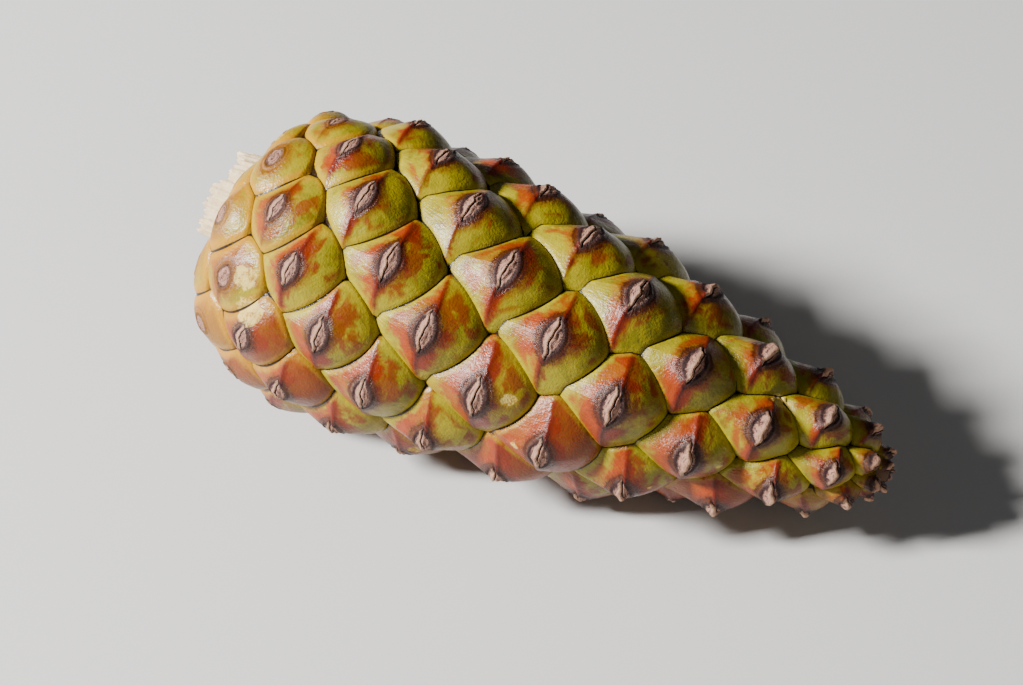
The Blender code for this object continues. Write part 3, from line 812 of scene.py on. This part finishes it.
# %% [markdown]
# The cone has far more points than one mesh should hold, so its scales are made in four bands, from the
# stalk to the tip. A core painted nearly black as shade lies under them and stops light that finds its way
# down the grooves.

# %% The four bands of scales
BANDS = (
    ("scales_stalk_end", SCALE_FIRST, -6), ("scales_lower", -5, 22), ("scales_upper", 23, 49),
    ("scales_tip", 50, SCALE_LAST),
)
TRIANGLES, QUADS = grid_faces(len(RHO), COLUMNS, turned=True)
PER_SCALE = 2 + (len(RHO) - 2) * COLUMNS
for name, first, last in BANDS:
    rows = np.flatnonzero((number >= first) & (number <= last))
    grids, masks = scale_points(rows)
    shift = (np.arange(len(rows)) * PER_SCALE)[:, None, None]
    flat_masks = {key: flatten_grid(grid) for key, grid in masks.items()}
    piece = build_mesh(name, flatten_grid(grids).reshape(-1, 3), (TRIANGLES + shift).reshape(-1, 3),
                       (QUADS + shift).reshape(-1, 4), flat_masks, skin)
    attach(piece, "root")
    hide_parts("cone")
    print(name, len(rows), "scales", len(rows) * (len(TRIANGLES) + 2 * len(QUADS)), "triangles")

# %% [markdown]
# Under the scales is the woody axis, painted nearly black as shade. It hardly shows, only as dark ground
# deep between the outermost scales.

# %% The core
CORE_SINK = 5.0
CORE_SINK_SHARE = 0.42
CORE_START = 1.5
CORE_END = 1.2
CORE_ROWS = 60
CORE_SIDES = 48
CORE_SHADE_DARK = (0.035, 0.014, 0.004)
CORE_SHADE_LIGHTER = (0.09, 0.035, 0.008)
core_shade_material, w, shader = new_material("core_painted_shade")
place_3d = w.node("ShaderNodeTexCoord").outputs["Object"]
# painted shade: the core is nearly black, standing in for the shade deep between the scales
w.plug(shader.inputs["Base Color"], w.mix(w.noise(place_3d, 400.0), CORE_SHADE_DARK, CORE_SHADE_LIGHTER))
shader.inputs["Roughness"].default_value = 0.85
core_rows = np.linspace(CORE_START, ALONG[-1] - CORE_END, CORE_ROWS)
core_grid = np.empty((1, CORE_ROWS + 2, CORE_SIDES, 3))
core_turn = np.arange(CORE_SIDES) * 2 * math.pi / CORE_SIDES
sink = np.minimum(CORE_SINK, CORE_SINK_SHARE * radius_at(core_rows))
core_grid[0, 1:-1] = place(core_rows[:, None], core_turn[None, :], -sink[:, None])
core_grid[0, 0] = core_grid[0, 1].mean(axis=0)
core_grid[0, -1] = core_grid[0, -2].mean(axis=0)
core_triangles, core_quads = grid_faces(CORE_ROWS + 2, CORE_SIDES, turned=True)
core = build_mesh("core", flatten_grid(core_grid)[0], core_triangles, core_quads, {}, core_shade_material)
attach(core, "root")
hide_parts("cone")
print("core faces", len(core.data.polygons))

# %% [markdown]
# Where the cone was pulled off its branch, the stalk tore and left a stub of pale wood that stands up in
# ragged fibres. It is one closed grid: the first half of its rows is the round wall, whose far edge is torn
# by a sum of sine waves, and the second half goes back in over the broken face to the middle.

# %% The torn stalk
STUB_RADIUS = 8.3
STUB_INNER = 0.9
STUB_OUTER = -4.4
STUB_MIDDLE = STUB_OUTER * 0.6
STUB_SIDES = 240
WALL_ROWS = 20
WOOD_DARK = (0.40, 0.24, 0.09)
WOOD_PALE = (0.86, 0.72, 0.46)
wood, w, shader = new_material("torn_wood")
place_3d = w.node("ShaderNodeTexCoord").outputs["Object"]
strand = w.noise(place_3d, 900.0, 4.0, 0.7)
w.plug(shader.inputs["Base Color"], w.mix(strand, WOOD_DARK, WOOD_PALE))
shader.inputs["Roughness"].default_value = 0.8
bump = w.node("ShaderNodeBump", {"Strength": 0.6, "Distance": 0.0005, "Height": strand})
w.plug(shader.inputs["Normal"], bump.outputs[0])
turn = np.arange(STUB_SIDES) * 2 * math.pi / STUB_SIDES
lobes = 1 + 0.05 * np.cos(5 * turn) + 0.04 * np.cos(3 * turn + 1.0) + 0.025 * np.cos(23 * turn)
lobes += 0.012 * np.cos(57 * turn + 2 * np.sin(3 * turn))
torn = STUB_OUTER + 0.8 * np.sin(5 * turn + 0.6) + 0.5 * np.sin(13 * turn + 2)
torn = torn + 0.7 * np.abs(np.sin(20 * turn)) + 0.5 * np.sin(43 * turn + np.sin(4 * turn))
share = np.r_[np.linspace(0, 1, WALL_ROWS), np.linspace(0.95, 0.04, WALL_ROWS)]
wall = (np.arange(2 * WALL_ROWS) < WALL_ROWS)[:, None]
x = np.where(wall, STUB_INNER + (torn - STUB_INNER)[None, :] * share[:, None],
             STUB_MIDDLE + (torn - STUB_MIDDLE)[None, :] * share[:, None] ** 1.5)
radius = STUB_RADIUS * lobes[None, :] * np.where(wall, 1 - 0.05 * share[:, None], 0.95 * share[:, None])
fringe = 0.6 * np.sin(7 * radius + 9 * turn[None, :]) + 0.35 * np.sin(13 * radius - 21 * turn[None, :])
x = x + np.where(wall, 0.0, fringe * share[:, None])
stub_grid = np.empty((1, 2 * WALL_ROWS + 2, STUB_SIDES, 3))
stub_grid[0, 1:-1] = lay_down(x, turn[None, :], radius)
stub_grid[0, 0] = lay_down(np.array([STUB_INNER]), np.array([0.0]), np.array([0.0]))
stub_grid[0, -1] = lay_down(np.array([STUB_MIDDLE]), np.array([0.0]), np.array([0.0]))
stub_triangles, stub_quads = grid_faces(2 * WALL_ROWS + 2, STUB_SIDES)
stub = build_mesh("torn_stalk", flatten_grid(stub_grid)[0], stub_triangles, stub_quads, {}, wood)
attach(stub, "root")
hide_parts("stalk_stub")
print("stub faces", len(stub.data.polygons))

# %% [markdown]
# The stage is a pale floor. A soft light stands high to the left of the camera, as in the photograph, with
# a weak one opposite, so the ridges read and no side falls into black. The camera has the photograph's
# viewing angle.

# %% Floor, lights and camera
FLOOR_HALF = 1.5
AIM = Vector((0, 0, 0.02))
corners = [(x * FLOOR_HALF, y * FLOOR_HALF, 0) for x, y in ((-1, -1), (1, -1), (1, 1), (-1, 1))]
floor_mesh = bpy.data.meshes.new("floor")
floor_mesh.from_pydata(corners, [], [(0, 1, 2, 3)])
floor = bpy.data.objects.new("floor", floor_mesh)
bpy.context.scene.collection.objects.link(floor)
floor_material, w, shader = new_material("floor_paint")
shader.inputs["Base Color"].default_value = (0.52, 0.51, 0.495, 1)
shader.inputs["Roughness"].default_value = 0.7
floor_mesh.materials.append(floor_material)


def soft_light(name, at, size, power):
    """A square area light at a place, turned to the middle of the cone."""
    lamp = bpy.data.lights.new(name, "AREA")
    lamp.size = size
    lamp.energy = power
    holder = bpy.data.objects.new(name, lamp)
    holder.location = at
    holder.rotation_euler = (AIM - Vector(at)).to_track_quat("-Z", "Y").to_euler()
    bpy.context.scene.collection.objects.link(holder)


soft_light("key", at=(-0.72, -0.50, 0.66), size=0.18, power=50.0)
soft_light("fill", at=(0.45, -0.35, 0.35), size=0.5, power=0.5)
world = bpy.data.worlds.new("studio")
world.use_nodes = True
world.node_tree.nodes["Background"].inputs[0].default_value = (0.9, 0.92, 1.0, 1)
world.node_tree.nodes["Background"].inputs[1].default_value = 0.06
bpy.context.scene.world = world

CAMERA_AT = (0.13947, -0.27188, 0.31739)
CAMERA_TURN = (45.901, 2.562, 25.323)
LENS_LENGTH = 90.8
SENSOR_WIDTH = 36.0
lens = bpy.data.cameras.new("camera")
lens.lens = LENS_LENGTH
lens.sensor_width = SENSOR_WIDTH
lens.clip_start = 0.01
camera = bpy.data.objects.new("camera", lens)
camera.location = CAMERA_AT
camera.rotation_euler = [math.radians(value) for value in CAMERA_TURN]
bpy.context.scene.collection.objects.link(camera)
bpy.context.scene.camera = camera
print("camera", tuple(round(value, 4) for value in camera.location))
